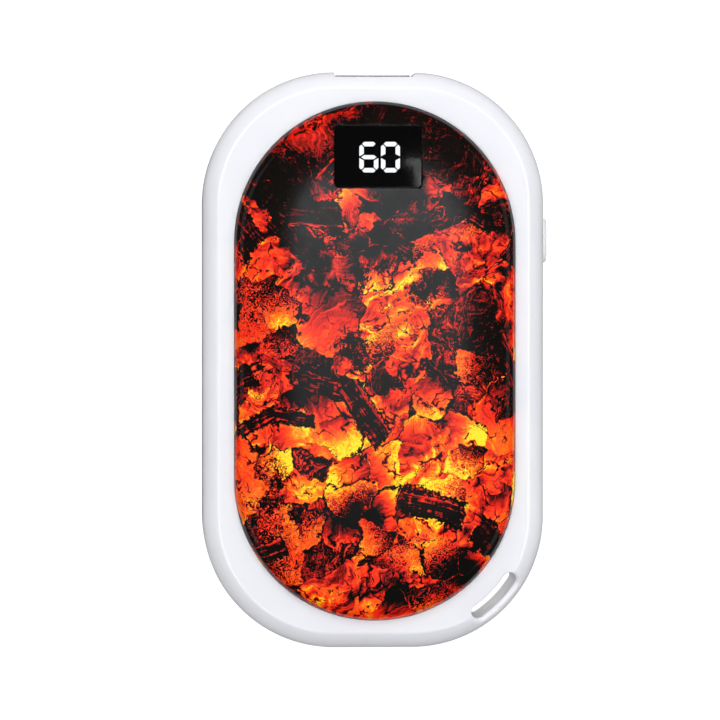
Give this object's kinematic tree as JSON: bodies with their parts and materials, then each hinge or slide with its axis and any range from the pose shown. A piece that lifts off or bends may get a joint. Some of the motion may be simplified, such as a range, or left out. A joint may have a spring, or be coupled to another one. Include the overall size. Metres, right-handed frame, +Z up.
{
  "type": "rechargeable hand warmer",
  "caption": "Pocket hand warmer: rounded white case with round-ended glowing-coal panels front and back, digit window, side button, ports in the top end and a cord slot.",
  "frame": {"origin": "centre of the back panel's flat resting face", "axes": "+X right as seen from the display side, +Y along the body towards the port end, +Z up out of the front panel"},
  "size_m": [0.061, 0.1012, 0.024],
  "materials": {
    "case_white": "smooth gloss",
    "panel_print": "clear gloss over a glowing-coal print",
    "glue": "soft",
    "spreader": "rolled",
    "heater_film": "amber film with etched tracks",
    "foam": "closed-cell foam",
    "window_black": "polished",
    "display_black": "moulded",
    "segment_lit": "lit diffuser",
    "segment_unlit": "unlit diffuser",
    "circuit_board": "solder mask",
    "contact_gold": "plated",
    "socket_steel": "plated sheet",
    "socket_white": "moulded",
    "socket_black": "moulded",
    "chip_black": "moulded",
    "lead_tin": "tinned",
    "ferrite": "matt",
    "capacitor_tan": "matt",
    "resistor_black": "matt",
    "switch_grey": "moulded",
    "cell_pouch": "laminated foil",
    "cell_tape": "adhesive tape",
    "tab_nickel": "rolled",
    "wire_red": "sleeve",
    "wire_black": "sleeve",
    "wire_white": "sleeve",
    "sensor_black": "epoxy",
    "screw_steel": "plated"
  },
  "bodies": {
    "case": {"front_shell": "case_white", "back_shell": "case_white", "front_cover": "panel_print", "back_cover": "panel_print", "front_cover_glue": "glue", "back_cover_glue": "glue", "front_spreader": "spreader", "back_spreader": "spreader", "front_heater": "heater_film", "back_heater": "heater_film", "front_pad": "foam", "back_pad": "foam", "display_window": "window_black", "display_housing": "display_black", "display_segments_lit": "segment_lit", "display_segments_unlit": "segment_unlit", "display_board": "circuit_board", "display_pins": "contact_gold", "main_board": "circuit_board", "usb_a_shell": "socket_steel", "usb_a_tongue": "socket_white", "usb_a_contacts": "contact_gold", "usb_c_shell": "socket_steel", "usb_c_tongue": "socket_black", "usb_c_contacts": "contact_gold", "controller_chip": "chip_black", "charger_chip": "chip_black", "chip_leads": "lead_tin", "power_inductor": "ferrite", "board_capacitors": "capacitor_tan", "board_resistors": "resistor_black", "switch_body": "chip_black", "battery_front": "cell_pouch", "battery_back": "cell_pouch", "battery_tape": "cell_tape", "battery_tabs": "tab_nickel", "battery_guard_board": "circuit_board", "battery_lead_plus": "wire_red", "battery_lead_minus": "wire_black", "heater_leads": "wire_white", "heat_sensors": "sensor_black", "sensor_leads": "lead_tin", "case_screws": "screw_steel"},
    "button": {"power_button": "case_white", "switch_plunger": "switch_grey"}
  },
  "joints": [
    {"name": "button_press", "type": "slide", "parent": "case", "child": "button", "axis": [-1, 0, 0], "range_m": [0, 0.0003], "stiffness_N_per_m": 400, "springref_m": -0.0005}
  ]
}
